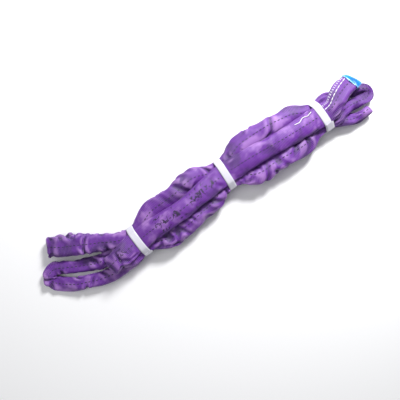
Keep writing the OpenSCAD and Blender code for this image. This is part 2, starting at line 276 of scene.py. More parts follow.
class Cloth:
    """The sleeve as one endless tube: rings of points along it, in millimetres, before and after it settles."""

    def __init__(self):
        size = sling_sizes()
        self.around = 16
        self.girth = size.sleeve_girth / MM
        stretches = lay_up()
        rows = np.array([s for _, stations in stretches for s in stations], float)
        starts = np.cumsum([0] + [len(stations) for _, stations in stretches])[:-1]
        self.names = [name for name, _ in stretches]
        even, at, along = once_round(rows, 1.0)
        stretch_of = np.searchsorted(along[starts], at, side="right") - 1
        even = smoothed(even, 30)
        even = self.shaken(even)
        self.rows, _, _ = once_round(even, size.ring_spacing / MM)
        self.count = len(self.rows)
        pick = np.linspace(0, len(even), self.count, endpoint=False).astype(int)
        self.stretch = stretch_of[np.minimum(pick, len(even) - 1)]
        self.length = self.count * size.ring_spacing / MM
        self.start = self.laid()
        self.rings = self.start

    def shaken(self, even):
        """Small seeded wanders of the middle line, so that spare cloth has somewhere to buckle."""
        rng = np.random.default_rng(SHAKE_SEED)
        steps = np.arange(len(even))
        wander = np.zeros((len(even), 3))
        for wave, size in ((23, 0.9), (37, 1.2), (61, 1.6)):
            knots = int(round(len(even) / wave))
            draws = rng.normal(0, 1, (knots, 3))
            draws = np.vstack([draws, draws[:1]])
            where = np.linspace(0, len(even), knots + 1)
            wander += size * np.stack([np.interp(steps, where, draws[:, i]) for i in range(3)], 1)
        free = np.clip((nearest_tie(even[:, :3]) - 14) / 14, 0, 1)
        free *= np.clip((even[:, 8] - 1) / 0.06, 0.3, 1.6)
        even[:, :3] += smoothed(wander, 6) * free[:, None] * np.array([0.4, 0.56, 0.8])
        return even

    def laid(self):
        middle = self.rows[:, :3]
        ahead = np.roll(middle, -1, 0) - np.roll(middle, 1, 0)
        ahead /= np.linalg.norm(ahead, axis=1)[:, None]
        face = self.rows[:, 5:8] - np.sum(self.rows[:, 5:8] * ahead, 1)[:, None] * ahead
        face /= np.linalg.norm(face, axis=1)[:, None]
        side = np.cross(face, ahead)
        turn_of = (np.arange(self.around) + 0.5) * 2 * math.pi / self.around
        across = np.sign(np.cos(turn_of)) * np.abs(np.cos(turn_of)) ** 0.8
        through = np.sign(np.sin(turn_of)) * np.abs(np.sin(turn_of)) ** 0.8
        rings = (
            middle[:, None]
            + side[:, None] * (self.rows[:, 3] / 2)[:, None, None] * across[None, :, None]
            + face[:, None] * (self.rows[:, 4] / 2)[:, None, None] * through[None, :, None]
        )
        return rings + TO_CENTRE

    def rest(self):
        """The tube as woven: flat, and round a large circle."""
        gaps = np.linalg.norm(np.roll(self.rows[:, :3], -1, 0) - self.rows[:, :3], axis=1) * self.rows[:, 8]
        angle = np.r_[0, np.cumsum(gaps)[:-1]] / gaps.sum() * 2 * math.pi
        out = np.stack([np.cos(angle), np.sin(angle), np.zeros(self.count)], 1)
        thick = 4.0
        width = (self.girth - math.pi * thick) / 2
        section = []
        for i in range(self.around):
            s = (i + 0.5) / self.around * self.girth
            quarter = math.pi * thick / 4
            if s < quarter:
                a = 2 * s / thick
                section.append((width / 2 + thick / 2 * math.cos(a), thick / 2 * math.sin(a)))
            elif s < quarter + width:
                section.append((width / 2 - (s - quarter), thick / 2))
            elif s < 3 * quarter + width:
                a = math.pi / 2 + 2 * (s - quarter - width) / thick
                section.append((-width / 2 + thick / 2 * math.cos(a), thick / 2 * math.sin(a)))
            elif s < 3 * quarter + 2 * width:
                section.append((-width / 2 + s - 3 * quarter - width, -thick / 2))
            else:
                a = 1.5 * math.pi + 2 * (s - 3 * quarter - 2 * width) / thick
                section.append((width / 2 + thick / 2 * math.cos(a), thick / 2 * math.sin(a)))
        section = np.array(section)
        radius = gaps.sum() / (2 * math.pi)
        return out[:, None] * (radius + section[None, :, 1, None]) + UP * section[None, :, 0, None]

    def settle(self, frames=SETTLE_FRAMES):
        """Lets the tube fill and settle on the floor, held where the ties grip it and loosely elsewhere."""
        scale = SIM_SCALE
        n, m = self.count, self.around
        spot = np.arange(n * m).reshape(n, m)
        quads = np.stack(
            [spot, np.roll(spot, -1, 1), np.roll(np.roll(spot, -1, 0), -1, 1), np.roll(spot, -1, 0)], -1
        ).reshape(-1, 4)
        mesh = bpy.data.meshes.new("settling")
        mesh.from_pydata((self.start.reshape(-1, 3) * scale).tolist(), [], quads.tolist())
        tube = bpy.data.objects.new("settling", mesh)
        bpy.context.scene.collection.objects.link(tube)
        tube.shape_key_add(name="Basis")
        woven = tube.shape_key_add(name="woven")
        woven.data.foreach_set("co", (self.rest().reshape(-1, 3) * scale).astype(np.float32).ravel())
        held = tube.vertex_groups.new(name="held")
        gap = nearest_tie(self.rows[:, :3])
        gripped = gap < GRIPPED
        held.add([int(i) for i in spot[gripped].ravel()], 1.0, "REPLACE")
        outside = (self.rows[:, 0] < LEFT_TIE[0] - 9) | (self.rows[:, 0] > RIGHT_TIE[0] + 9)
        faces = (m // 4 - 1, m // 4, 3 * m // 4 - 1, 3 * m // 4)
        edges = (0, m // 2 - 1, m // 2, m - 1)
        for i in range(n):
            if gripped[i]:
                continue
            if i % 2 == 0:
                held.add([int(spot[i, j]) for j in faces], 0.3 if outside[i] else 0.14, "REPLACE")
            else:
                held.add([int(spot[i, j]) for j in edges], 0.2 if outside[i] else 0.12, "REPLACE")
        cloth = tube.modifiers.new("settle", "CLOTH")
        feel = cloth.settings
        feel.quality = 5
        feel.mass = 0.002
        feel.air_damping = 1.0
        feel.tension_stiffness = 8
        feel.compression_stiffness = 8
        feel.shear_stiffness = 2
        feel.bending_model = "ANGULAR"
        feel.bending_stiffness = 0.012
        feel.tension_damping = 2
        feel.compression_damping = 2
        feel.shear_damping = 2
        feel.bending_damping = 0.2
        feel.use_pressure = True
        feel.uniform_pressure_force = sling_sizes().fill_pressure
        feel.vertex_group_mass = "held"
        feel.pin_stiffness = 1
        feel.rest_shape_key = woven
        touch = cloth.collision_settings
        touch.use_collision = True
        touch.distance_min = 0.004
        touch.collision_quality = 3
        touch.use_self_collision = True
        touch.self_distance_min = 0.012
        touch.self_friction = 5
        ground = bpy.data.meshes.new("ground")
        ground.from_pydata([(-6, -3, 0), (6, -3, 0), (6, 3, 0), (-6, 3, 0)], [], [(0, 1, 2, 3)])
        ground = bpy.data.objects.new("ground", ground)
        bpy.context.scene.collection.objects.link(ground)
        ground.modifiers.new("stop", "COLLISION")
        ground.collision.thickness_outer = 0.004
        ground.collision.cloth_friction = 20
        scene = bpy.context.scene
        scene.frame_start, scene.frame_end = 1, frames
        cloth.point_cache.frame_start, cloth.point_cache.frame_end = 1, frames
        for frame_number in range(1, frames + 1):
            scene.frame_set(frame_number)
        shown = tube.evaluated_get(bpy.context.evaluated_depsgraph_get()).to_mesh()
        places = np.empty(n * m * 3, np.float32)
        shown.vertices.foreach_get("co", places)
        scene.frame_set(1)
        for used in (tube, ground):
            data = used.data
            bpy.data.objects.remove(used)
            bpy.data.meshes.remove(data)
        if not np.isfinite(places).all():
            raise RuntimeError("the cloth did not settle")
        self.rings = places.reshape(n, m, 3).astype(float) / scale


def between(rings, times, axis):
    """Smooth closed curve through the rings, with more of them."""
    before, after, later = np.roll(rings, 1, axis), np.roll(rings, -1, axis), np.roll(rings, -2, axis)
    parts = []
    for i in range(times):
        t = i / times
        parts.append(
            0.5
            * (
                2 * rings
                + (after - before) * t
                + (2 * before - 5 * rings + 4 * after - later) * t**2
                + (3 * rings - before - 3 * after + later) * t**3
            )
        )
    return np.stack(parts, axis + 1).reshape(
        [s * times if i == axis else s for i, s in enumerate(rings.shape)]
    )


class Surface:
    """The settled sleeve as a fine grid, with its creases, and a way to find places on it."""

    def __init__(self, cloth):
        self.cloth = cloth
        self.more = 3
        rings = cloth.rings.copy()
        soft = (np.roll(rings, 1, 0) + np.roll(rings, -1, 0) + 2 * rings) / 4
        rings = soft
        grid = between(between(rings, self.more, 0), 2, 1)
        self.rows, self.around = grid.shape[:2]
        self.pitch = cloth.length / self.rows
        self.girth = cloth.girth
        self.along = np.arange(self.rows) * self.pitch
        self.across = (np.arange(self.around) / 2 + 0.5) / cloth.around * self.girth
        self.nominal = between(cloth.rows[:, :3] + TO_CENTRE, self.more, 0)
        self.stretch = np.repeat(cloth.stretch, self.more)
        self.gap = nearest_tie(self.nominal - TO_CENTRE)
        self.depth = self.creases()
        self.grid = grid + self.normals(grid) * self.depth[..., None]
        self.grid[..., 2] = np.maximum(self.grid[..., 2], 0.25)
        self.face = self.normals(self.grid)
        self.cuts = self.cut_at_ties()

    def normals(self, grid):
        ahead = np.roll(grid, -1, 0) - np.roll(grid, 1, 0)
        round_it = np.roll(grid, -1, 1) - np.roll(grid, 1, 1)
        out = np.cross(round_it, ahead)
        size = np.linalg.norm(out, axis=2)[..., None]
        return out / np.maximum(size, 1e-9)

    def creases(self):
        """Depth of the folds of spare cloth: inward valleys with a low shoulder each side."""
        rng = np.random.default_rng(CREASE_SEED)
        depth = np.zeros((self.rows, self.around))
        v = self.across[None, :]
        names = self.cloth.names
        marks = []
        for i, name in enumerate(names):
            inside = np.flatnonzero(self.stretch == i)
            if not len(inside):
                continue
            first, last = self.along[inside[0]], self.along[inside[-1]]
            span = last - first
            if name.endswith("bight"):
                many, low, high, deep = {
                    "left_back_bight": (34, 50, 125, 5.6),
                    "left_front_bight": (34, 20, 150, 4.6),
                    "left_top_bight": (16, 30, 120, 4.4),
                    "label_bight": (9, 60, 120, 0.8),
                    "right_front_bight": (14, 10, 50, 1.8),
                    "right_middle_bight": (18, 15, 60, 1.8),
                }[name]
                for _ in range(many):
                    lean = rng.uniform(low, high)
                    marks.append(
                        (
                            rng.uniform(first - 6, last + 6),
                            rng.uniform(0, self.girth),
                            lean,
                            rng.uniform(9, 20),
                            rng.uniform(1.8, 3.8),
                            rng.uniform(0.4, 1) * deep,
                            rng.uniform(-0.03, 0.03),
                        )
                    )
            else:
                flat = name in ("top_run", "bottom_run")
                for _ in range(int(span / (10 if flat else 6.5))):
                    at = rng.uniform(first, last)
                    marks.append(
                        (
                            at,
                            rng.uniform(0, self.girth),
                            rng.choice([-1, 1]) * rng.uniform(8, 60),
                            rng.uniform(10, 30),
                            rng.uniform(1.8, 3.6),
                            rng.uniform(0.3, 1) * (1.6 if flat else 3.4),
                            rng.uniform(-0.02, 0.02),
                        )
                    )
        # pleats that fan from each tie
        tight = np.flatnonzero((self.gap < 1.2) & (np.roll(self.gap, 1) >= 1.2))
        for k in tight:
            for way in (-1, 1):
                for _ in range(7):
                    marks.append(
                        (
                            self.along[k] + way * rng.uniform(12, 26),
                            rng.uniform(0, self.girth),
                            rng.uniform(-14, 14),
                            rng.uniform(9, 17),
                            rng.uniform(1.3, 2.4),
                            rng.uniform(0.8, 2.1),
                            rng.uniform(-0.01, 0.01),
                        )
                    )
        for at, over, lean, half, wide, deep, bow in marks:
            loop = self.cloth.length
            near = np.flatnonzero(np.abs((self.along - at + loop / 2) % loop - loop / 2) < half + 4 * wide)
            du = (self.along[near, None] - at + loop / 2) % loop - loop / 2
            dv = (v - over + self.girth / 2) % self.girth - self.girth / 2
            c, s = math.cos(math.radians(lean)), math.sin(math.radians(lean))
            run_on = du * c + dv * s
            off = -du * s + dv * c + bow * run_on**2
            fade = np.clip(1 - (run_on / half) ** 2, 0, 1) ** 1.5
            shoulder = np.exp(-(((np.abs(off) - 2.3 * wide) / (1.3 * wide)) ** 2))
            shape = -np.exp(-((off / wide) ** 2)) + 0.42 * shoulder
            depth[near] += deep * fade * shape
        depth = np.where(depth < 0, -5.6 * np.tanh(-depth / 5.6), 2.8 * np.tanh(depth / 2.8))
        return depth * np.clip((self.gap - 8) / 9, 0.04, 1)[:, None]

    def cut_at_ties(self):
        """Grid rows where the tube passes under the middle of a tie, in order round the loop."""
        found = []
        for name, tie in TIES.items():
            rel = (self.nominal[:, :2] - TO_CENTRE[:2] - np.array(tie[:2])) @ heading(tie[2])[:2]
            close = np.linalg.norm(self.nominal[:, :2] - TO_CENTRE[:2] - np.array(tie[:2]), axis=1) < 40
            swap = (np.sign(rel) != np.sign(np.roll(rel, -1))) & close
            found += [(int(k), name) for k in np.flatnonzero(swap)]
        found.sort()
        if len(found) != TIE_PATHS:
            raise RuntimeError(f"the loop passes the ties {len(found)} times, not {TIE_PATHS}")
        return found

    def find(self, x):
        """Distance along the sleeve where its uppermost run passes x."""
        high = [i for i, name in enumerate(self.cloth.names) if name in ("top_run", "left_top_bight")]
        fits = np.isin(self.stretch, high) & (self.nominal[:, 2] > 32)
        return float(np.argmin(np.where(fits, np.abs(self.nominal[:, 0] - x), 1e9)) * self.pitch * MM)

    def on_top(self, x, y):
        """The highest place on the sleeve at x, y of the CAD source."""
        spot = np.array([x, y]) + TO_CENTRE[:2]
        flat = self.grid.reshape(-1, 3)
        near = np.linalg.norm(flat[:, :2] - spot, axis=1) < 2.6
        return np.array([*spot, flat[near, 2].max()])

    def tie_row(self, region):
        return next(a for name, a, _ in self.lengths() if name == region)

    def label_tip(self):
        """Row at the outermost place of the label's loop."""
        a, b = next((a, b) for name, a, b in self.lengths() if name == "label_bight")
        rows = np.arange(a, b) % self.rows
        return a + int(np.argmax(self.nominal[rows] @ heading(LABEL_HEADING)))

    def lengths(self):
        """(piece name, first row, last row) of each length of tube from one tie to the next."""
        out = []
        for (a, tie_a), (b, tie_b) in zip(self.cuts, self.cuts[1:] + self.cuts[:1]):
            last = b if b > a else b + self.rows
            if tie_a != tie_b:
                name = "left_span" if "left" in (tie_a, tie_b) else "right_span"
            else:
                middle = ((a + last) // 2) % self.rows
                name = self.cloth.names[self.stretch[middle]]
            out.append((name, a, last))
        return out

    def at(self, u, v, lift=0.0):
        """Place and outward direction at u along and v round the sleeve, lifted off it."""
        x = np.atleast_1d(u) / self.pitch
        y = (np.atleast_1d(v) / self.girth * self.cloth.around - 0.5) * 2
        i, j = np.floor(x).astype(int), np.floor(y).astype(int)
        fx, fy = (x - i)[:, None], (y - j)[:, None]
        out = []
        for table in (self.grid, self.face):
            a = table[i % self.rows, j % self.around]
            b = table[(i + 1) % self.rows, j % self.around]
            c = table[i % self.rows, (j + 1) % self.around]
            d = table[(i + 1) % self.rows, (j + 1) % self.around]
            out.append((a * (1 - fx) + b * fx) * (1 - fy) + (c * (1 - fx) + d * fx) * fy)
        place, away = out
        away /= np.linalg.norm(away, axis=1)[:, None]
        return place + away * lift, away


made = {}


def surface():
    """The settled sleeve, worked out once."""
    if "surface" not in made:
        cloth = Cloth()
        cloth.settle()
        made["surface"] = Surface(cloth)
    return made["surface"]


SECTION = {
    "left_back_bight": "left",
    "left_top_bight": "left",
    "left_front_bight": "left",
    "label_bight": "right",
    "right_front_bight": "right",
    "right_middle_bight": "right",
}
REPLACED = {"left_span": ["left", "centre"], "right_span": ["right"]}


def join_to_frame(piece, region):
    """Bakes a piece's place into its mesh. The points that spread works out, for a span between two tied sections or a
    bight out of its tie, are not used.
    """
    if region == "left_span":
        spread(LEFT_TIE, 10, MIDDLE_TIE, -10)
        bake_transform(piece)
    elif region == "right_span":
        spread(MIDDLE_TIE, 10, RIGHT_TIE, -10)
        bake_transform(piece)
    else:
        end = SECTION[region]
        tie = TIES[end]
        way = -1 if end == "left" else 1
        spread(tie, 8 * way, tie, 26 * way)
        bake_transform(piece)


def spread(first, ahead, second, on):
    """Two points on the middle line, that far from two ties, in metres."""
    ends = []
    for tie, far in ((first, ahead), (second, on)):
        ends.append(tuple((np.array([tie[0], tie[1], 20.0]) + heading(tie[2]) * far + TO_CENTRE) * MM))
    return ends


def stands_for(kind, region):
    names = REPLACED.get(region, [region])
    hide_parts(*[f"{kind}_{name}" for name in names])


def new_piece(name, verts, faces, material, smooth=True):
    """A mesh piece from places in millimetres."""
    mesh = bpy.data.meshes.new(name)
    mesh.from_pydata((np.asarray(verts, float) * MM).tolist(), [], [list(map(int, f)) for f in faces])
    mesh.polygons.foreach_set("use_smooth", [smooth] * len(mesh.polygons))
    mesh.materials.append(material)
    mesh.update()
    piece = bpy.data.objects.new(name, mesh)
    bpy.context.scene.collection.objects.link(piece)
    return piece


def tube_piece(name, rows_of, material, step=1, shrink=1.0, coarse=1):
    """Lengths of tube, closed at both ends, with the cloth's own lengths as its texture layout."""
    s = surface()
    verts, faces, uv, crease = [], [], [], []
    for a, b in rows_of:
        rows = list(range(a + 1, b, step))
        if rows[-1] != b:
            rows.append(b)
        picks = np.array(rows) % s.rows
        ring = s.grid[picks][:, ::coarse]
        middle = ring.mean(1, keepdims=True)
        ring = middle + (ring - middle) * shrink
        around = ring.shape[1]
        base = len(verts)
        verts.extend(ring.reshape(-1, 3))
        crease.extend(s.depth[picks][:, ::coarse].ravel())
        across = s.across[::coarse]
        for i in range(len(rows) - 1):
            u0, u1 = rows[i] * s.pitch, rows[i + 1] * s.pitch
            for j in range(around):
                j2 = (j + 1) % around
                v0 = across[j]
                v1 = across[j2] + (s.girth if j2 == 0 else 0)
                p, q = base + i * around, base + (i + 1) * around
                faces.append((p + j, p + j2, q + j2, q + j))
                uv.extend(((u0, v0), (u0, v1), (u1, v1), (u1, v0)))
        for i, flip in ((0, True), (len(rows) - 1, False)):
            hub = len(verts)
            verts.append(ring[i].mean(0))
            crease.append(0)
            for j in range(around):
                p, q = base + i * around + j, base + i * around + (j + 1) % around
                faces.append((hub, q, p) if flip else (hub, p, q))
                uv.extend([(rows[i] * s.pitch, across[j])] * 3)
    piece = new_piece(name, verts, faces, material)
    layout = piece.data.uv_layers.new(name="cloth_layout")
    layout.data.foreach_set("uv", (np.array(uv) * MM).astype(np.float32).ravel())
    folds = piece.data.attributes.new("fold_depth", "FLOAT", "POINT")
    folds.data.foreach_set("value", np.array(crease, np.float32))
    return piece


def stitch_row(u0, u1, v, dash, gap, wide, high, sink=0.05, wander=None):
    """Stitches lying on the sleeve: small rounded bars of thread, one after another."""
    s = surface()
    verts, faces = [], []
    at = u0
    while at + dash < u1:
        steps = np.linspace(at, at + dash, 4)
        over = np.full(4, v) if wander is None else np.interp(steps, *wander)
        place, away = s.at(steps, over, -sink)
        ahead = np.gradient(place, axis=0)
        side = np.cross(away, ahead)
        side /= np.linalg.norm(side, axis=1)[:, None]
        base = len(verts)
        for i, grow in enumerate((0.45, 1, 1, 0.45)):
            for k in range(6):
                a = k * math.pi / 3
                across, up = side[i] * wide / 2 * grow * math.cos(a), away[i] * high * grow * math.sin(a)
                verts.append(place[i] + across + up)
        for i in range(3):
            for k in range(6):
                p, q = base + i * 6, base + (i + 1) * 6
                faces.append((p + k, p + (k + 1) % 6, q + (k + 1) % 6, q + k))
        faces.append([base + k for k in range(5, -1, -1)])
        faces.append([base + 18 + k for k in range(6)])
        at += dash + gap
    return verts, faces


def gathered(rows):
    """Several (verts, faces) sets as one."""
    verts, faces = [], []
    for some_verts, some_faces in rows:
        base = len(verts)
        verts.extend(some_verts)
        faces.extend([[base + i for i in f] for f in some_faces])
    return verts, faces


# ---------------------------------------------------------------------------
# Finishes
# ---------------------------------------------------------------------------


class Value:
    """One number in a material, so that shader maths reads as Python."""

    def __init__(self, finish, socket):
        self.finish, self.socket = finish, socket

    def maths(self, operation, first, second=0.0):
        return self.finish.node("ShaderNodeMath", {"operation": operation}, {0: first, 1: second})

    def __add__(self, other):
        return self.maths("ADD", self, other)

    def __radd__(self, other):
        return self.maths("ADD", other, self)

    def __sub__(self, other):
        return self.maths("SUBTRACT", self, other)

    def __rsub__(self, other):
        return self.maths("SUBTRACT", other, self)

    def __mul__(self, other):
        return self.maths("MULTIPLY", self, other)

    def __rmul__(self, other):
        return self.maths("MULTIPLY", other, self)

    def __truediv__(self, other):
        return self.maths("DIVIDE", self, other)

    def __rtruediv__(self, other):
        return self.maths("DIVIDE", other, self)

    def __abs__(self):
        return self.maths("ABSOLUTE", self)

    def __mod__(self, other):
        return self.maths("FLOORED_MODULO", self, other)

    def sine(self):
        return self.maths("SINE", self)

    def between(self, low, high, to_low=0.0, to_high=1.0):
        """Smooth step from to_low at low to to_high at high."""
        return self.finish.node(
            "ShaderNodeMapRange",
            {"interpolation_type": "SMOOTHSTEP"},
            {"Value": self, "From Min": low, "From Max": high, "To Min": to_low, "To Max": to_high},
        )


class Finish:
    """A material under construction."""

    def __init__(self, name, **constant):
        self.material = bpy.data.materials.new(name)
        self.material.use_nodes = True
        self.nodes = self.material.node_tree.nodes
        self.links = self.material.node_tree.links
        self.shader = self.nodes["Principled BSDF"] if "Principled BSDF" in self.nodes else None
        if self.shader is None:
            self.nodes.clear()
            self.shader = self.nodes.new("ShaderNodeBsdfPrincipled")
            end = self.nodes.new("ShaderNodeOutputMaterial")
            self.links.new(self.shader.outputs[0], end.inputs["Surface"])
        for socket, value in constant.items():
            self.shader.inputs[socket.replace("_", " ")].default_value = value

    def node(self, kind, settings=None, sockets=None, output=0):
        """Adds a node of that kind: its settings first, then the values or links of its sockets."""
        node = self.nodes.new(kind)
        for key, value in (settings or {}).items():
            setattr(node, key, value)
        for key, value in (sockets or {}).items():
            if isinstance(value, Value):
                self.links.new(value.socket, node.inputs[key])
            else:
                node.inputs[key].default_value = value
        return Value(self, node.outputs[output])

    def set(self, socket, value):
        self.links.new(value.socket, self.shader.inputs[socket])

    def mix(self, share, first, second):
        """Colour between two colours."""
        return self.node(
            "ShaderNodeMix",
            {"data_type": "RGBA"},
            {"Factor": share, 6: self.colour(first), 7: self.colour(second)},
            output=2,
        )

    def colour(self, value):
        return value if isinstance(value, Value) else (*value, 1)

    def noise(self, place, size, detail=2.0, rough=0.5, distortion=0.0):
        """Soft noise from 0 to 1, with features about size metres across."""
        return self.node(
            "ShaderNodeTexNoise",
            {},
            {"Vector": place, "Scale": 1 / size, "Detail": detail, "Roughness": rough, "Distortion": distortion},
        )

    def place(self):
        return self.node("ShaderNodeTexCoord", {}, {}, output=3)

    def layout(self):
        """Metres along and round the cloth."""
        uv = self.node("ShaderNodeUVMap", {"uv_map": "cloth_layout"})
        return (
            uv,
            self.node("ShaderNodeSeparateXYZ", {}, {0: uv}, output=0),
            self.node("ShaderNodeSeparateXYZ", {}, {0: uv}, output=1),
        )

    def bump(self, height, depth, strength=1.0):
        """Relief of that many metres."""
        relief = {"Strength": strength, "Distance": depth, "Height": height}
        self.set("Normal", self.node("ShaderNodeBump", {}, relief))


def colour(name):
    return tuple(getattr(bpy.context.scene.sling_colours, name))[:3]


def sleeve_cloth():
    """Woven sleeve: fine cross ribs and twill, ribbed selvedges, ink marks on one face; painted highlight on raised
    folds and in broad patches, painted shade in creases, in broad patches and along the selvedges.
    """
    cloth = Finish(
        "sleeve_cloth",
        Roughness=0.62,
        Sheen_Weight=0.12,
        Sheen_Roughness=0.3,
        Sheen_Tint=(0.86, 0.72, 1.0, 1.0),
        Specular_IOR_Level=0.5,
    )
    s = surface()
    girth = s.girth * MM
    uv, along, across = cloth.layout()
    turn_mm = 2 * math.pi / MM
    fold = cloth.node("ShaderNodeAttribute", {"attribute_name": "fold_depth"}, {}, output=2)
    drift = cloth.noise(uv, 0.004, 3)
    big = cloth.noise(cloth.place(), 0.045, 3, 0.55)
    small = cloth.noise(uv, 0.009, 4, 0.6)
    # weave
    ribs = ((along + drift * 0.0006) * (turn_mm / 2.2)).sine() * 0.5 + 0.5
    twill = ((along + across * 1.0) * (turn_mm / 1.1)).sine() * 0.5 + 0.5
    warp = (across * (turn_mm / 0.9)).sine() * 0.5 + 0.5
    # selvedges at the two sides of the flat tube, and a woven stripe each side of the centre thread
    side = abs(((across / girth) * 2 + 0.5) % 1.0 - 0.5)
    selvedge = side.between(0.035, 0.075, 1.0, 0.0)
    middle = abs(((across / girth) * 2) % 1.0 - 0.5)
    stripe = abs(middle - 0.27).between(0.008, 0.03, 1.0, 0.0)
    edge_ribs = (along * (turn_mm / 1.7)).sine() * selvedge
    # painted shade: deep violet in the creases, where the fold depth runs inward
    valley = fold.between(-2.2, -0.2, 1.0, 0.0)
    # painted highlight: paler violet on the raised shoulders of the folds
    ridge_highlight = fold.between(0.1, 1.3, 0.0, 1.0)
    # painted highlight: broad patches of paler violet, laid by large noise, where a sheen would catch the light
    painted_sheen_patches = big.between(0.52, 0.68, 0.0, 1.0)
    # painted shade: broad patches of deep violet, laid by the same large noise
    shade = big.between(0.36, 0.5, 1.0, 0.0)
    base = cloth.mix(painted_sheen_patches * 0.62, colour("sleeve"), colour("sleeve_pale"))
    base = cloth.mix(shade * 0.7, base, colour("sleeve_deep"))
    base = cloth.mix(valley * 0.88, base, colour("sleeve_deep"))
    base = cloth.mix(ridge_highlight * 0.45, base, colour("sleeve_pale"))
    # painted shade: the selvedges, where the flat tube folds round, darkened towards deep violet; their ribs are relief
    base = cloth.mix(selvedge * 0.35, base, colour("sleeve_deep"))
    base = cloth.mix(stripe * 0.22, base, colour("sleeve_deep"))
    raised = (ribs * 0.5 + twill * 0.3 + small * 0.5).between(0.5, 1.1, 0.0, 0.3)
    base = cloth.mix(raised, base, colour("sleeve_pale"))
    for mask in ink_marks(cloth, along, across):
        base = cloth.mix(mask * 0.92, base, colour("ink"))
    cloth.set("Base Color", base)
    cloth.set("Roughness", (small * 0.2 + ribs * 0.08 + 0.34))
    weave = ribs * 0.5 + twill * 0.28 + warp * 0.15 + edge_ribs * 0.8 + stripe * 0.6 + small * 0.9
    cloth.bump(weave, 0.0004, 0.8)
    return cloth.material


def ink_marks(cloth, along, across):
    """Patches of short, broken strokes that read as faded, rubbed printing and say nothing."""
    s = surface()
    masks = []
    for at, far, size in INK_PATCHES:
        start, centre = s.find(at), s.girth * MM / 4 + 0.004
        x = (along - start) * (1 / size[0])
        y = (across - centre) * (1 / size[1])
        patch = abs(x).between(0.86, 1.0, 1.0, 0.0) * abs(y).between(0.86, 1.0, 1.0, 0.0)
        spot = cloth.node("ShaderNodeCombineXYZ", {}, {0: along * 105.0, 1: across * 150.0, 2: far})
        squiggle = {"Vector": spot, "Scale": 1.0, "Detail": 1.4, "Distortion": 0.6}
        strokes = abs(cloth.node("ShaderNodeTexNoise", {}, squiggle) - 0.5)
        line = strokes.between(0.03, 0.048, 1.0, 0.0)
        row = abs(((across - centre) * (1000 / 8.5)) % 1.0 - 0.5).between(0.3, 0.4, 1.0, 0.0)
        broken = cloth.node("ShaderNodeTexNoise", {}, {"Vector": spot, "Scale": 0.45, "Detail": 0.0})
        gaps = broken.between(0.44, 0.52, 0.0, 1.0)
        masks.append(patch * line * row * gaps)
    return masks


def core_yarn():
    """Bundle of undyed load yarns, lightly twisted."""
    yarn = Finish("core_yarn", Roughness=0.8, Sheen_Weight=0.2)
    uv, along, across = yarn.layout()
    strands = ((across * 6.0 + along * 0.9) * (2 * math.pi / 0.006)).sine() * 0.5 + 0.5
    fluff = yarn.noise(uv, 0.002, 3)
    yarn.set("Base Color", yarn.mix(strands * 0.6 + fluff * 0.3, (0.45, 0.43, 0.38), (0.82, 0.8, 0.74)))
    yarn.bump(strands + fluff * 0.4, 0.0006, 0.7)
    return yarn.material


def thread(name, base, pale, shine):
    """Twisted sewing thread."""
    twist = Finish(name, Roughness=shine, Specular_IOR_Level=0.4)
    place = twist.place()
    turns = twist.node(
        "ShaderNodeTexWave",
        {"wave_type": "BANDS", "bands_direction": "DIAGONAL"},
        {"Vector": place, "Scale": 900.0, "Distortion": 0.5},
    )
    fuzz = twist.noise(place, 0.0015, 2)
    twist.set("Base Color", twist.mix(turns * 0.5 + fuzz * 0.4, base, pale))
    twist.bump(turns, 0.0002, 0.5)
    return twist.material


def strap_plastic():
    """Glossy white strapping with fine lengthwise ribs and scuffs, and painted shade along its edges."""
    strap = Finish("strap_plastic", IOR=1.5, Coat_Roughness=0.12, Specular_IOR_Level=0.6)
    place = strap.place()
    _, along, across = strap.layout()
    ribs = (across * (2 * math.pi / 0.0016)).sine() * 0.5 + 0.5
    weave = (along * (2 * math.pi / 0.0022)).sine() * 0.5 + 0.5
    scuff = strap.noise(place, 0.006, 4, 0.65)
    # painted shade: the strap darkened towards grey along both its edges
    edge = abs(across * (2 / 0.013)).between(0.86, 1.0, 0.0, 1.0)
    white = strap.mix(scuff.between(0.5, 0.75, 0.0, 0.35), colour("strapping"), (0.6, 0.6, 0.64))
    strap.set("Base Color", strap.mix(edge * 0.35 + ribs * 0.08, white, (0.5, 0.5, 0.56)))
    strap.set("Roughness", scuff * 0.22 + 0.2)
    strap.set("Coat Weight", scuff.between(0.3, 0.7, 0.6, 0.25))
    strap.bump(ribs * 0.6 + weave * 0.3 + scuff * 0.5, 0.00025, 0.5)
    return strap.material


def label_film():
    """Glossy blue label film, softly creased, with painted shade of deeper blue over its crinkles and a paler band
    along its hems.
    """
    film = Finish("label_film", IOR=1.5, Coat_Roughness=0.06, Specular_IOR_Level=0.6)
    uv, along, across = film.layout()
    crinkle = film.noise(uv, 0.012, 3, 0.5, 0.6)
    fine = film.noise(uv, 0.003, 2)
    weave = (across * (2 * math.pi / 0.0014)).sine() * 0.5 + 0.5
    hem = abs(abs(along) - 0.0142).between(0.0004, 0.0011, 1.0, 0.0)
    # painted shade: deeper blue laid by the crinkle noise that also drives the relief
    blue = film.mix(crinkle.between(0.38, 0.7, 0.0, 0.7), colour("label"), colour("label_deep"))
    film.set("Base Color", film.mix(hem * 0.4, blue, (0.35, 0.7, 0.95)))
    film.set("Roughness", crinkle * 0.18 + 0.14)
    film.set("Coat Weight", fine.between(0.2, 0.8, 1.0, 0.7))
    film.bump(crinkle * 1.0 + weave * 0.05 + fine * 0.12, 0.0022, 0.8)
    return film.material


def floor_finish():
    """Matt pale board."""
    board = Finish("floor_board", Roughness=0.9, Specular_IOR_Level=0.1)
    speckle = board.noise(board.place(), 0.01, 3)
    pale = colour("floor")
    board.set("Base Color", board.mix(speckle * 0.3, pale, tuple(0.985 * c for c in pale)))
    return board.material


# ---------------------------------------------------------------------------
# Sizes and colours a user may change
# ---------------------------------------------------------------------------


def length(name, description, default, low):
    return bpy.props.FloatProperty(name=name, description=description, default=default, min=low, unit="LENGTH")


def tint(name, description, default):
    return bpy.props.FloatVectorProperty(
        name=name, description=description, default=default, size=3, min=0, max=1, subtype="COLOR"
    )


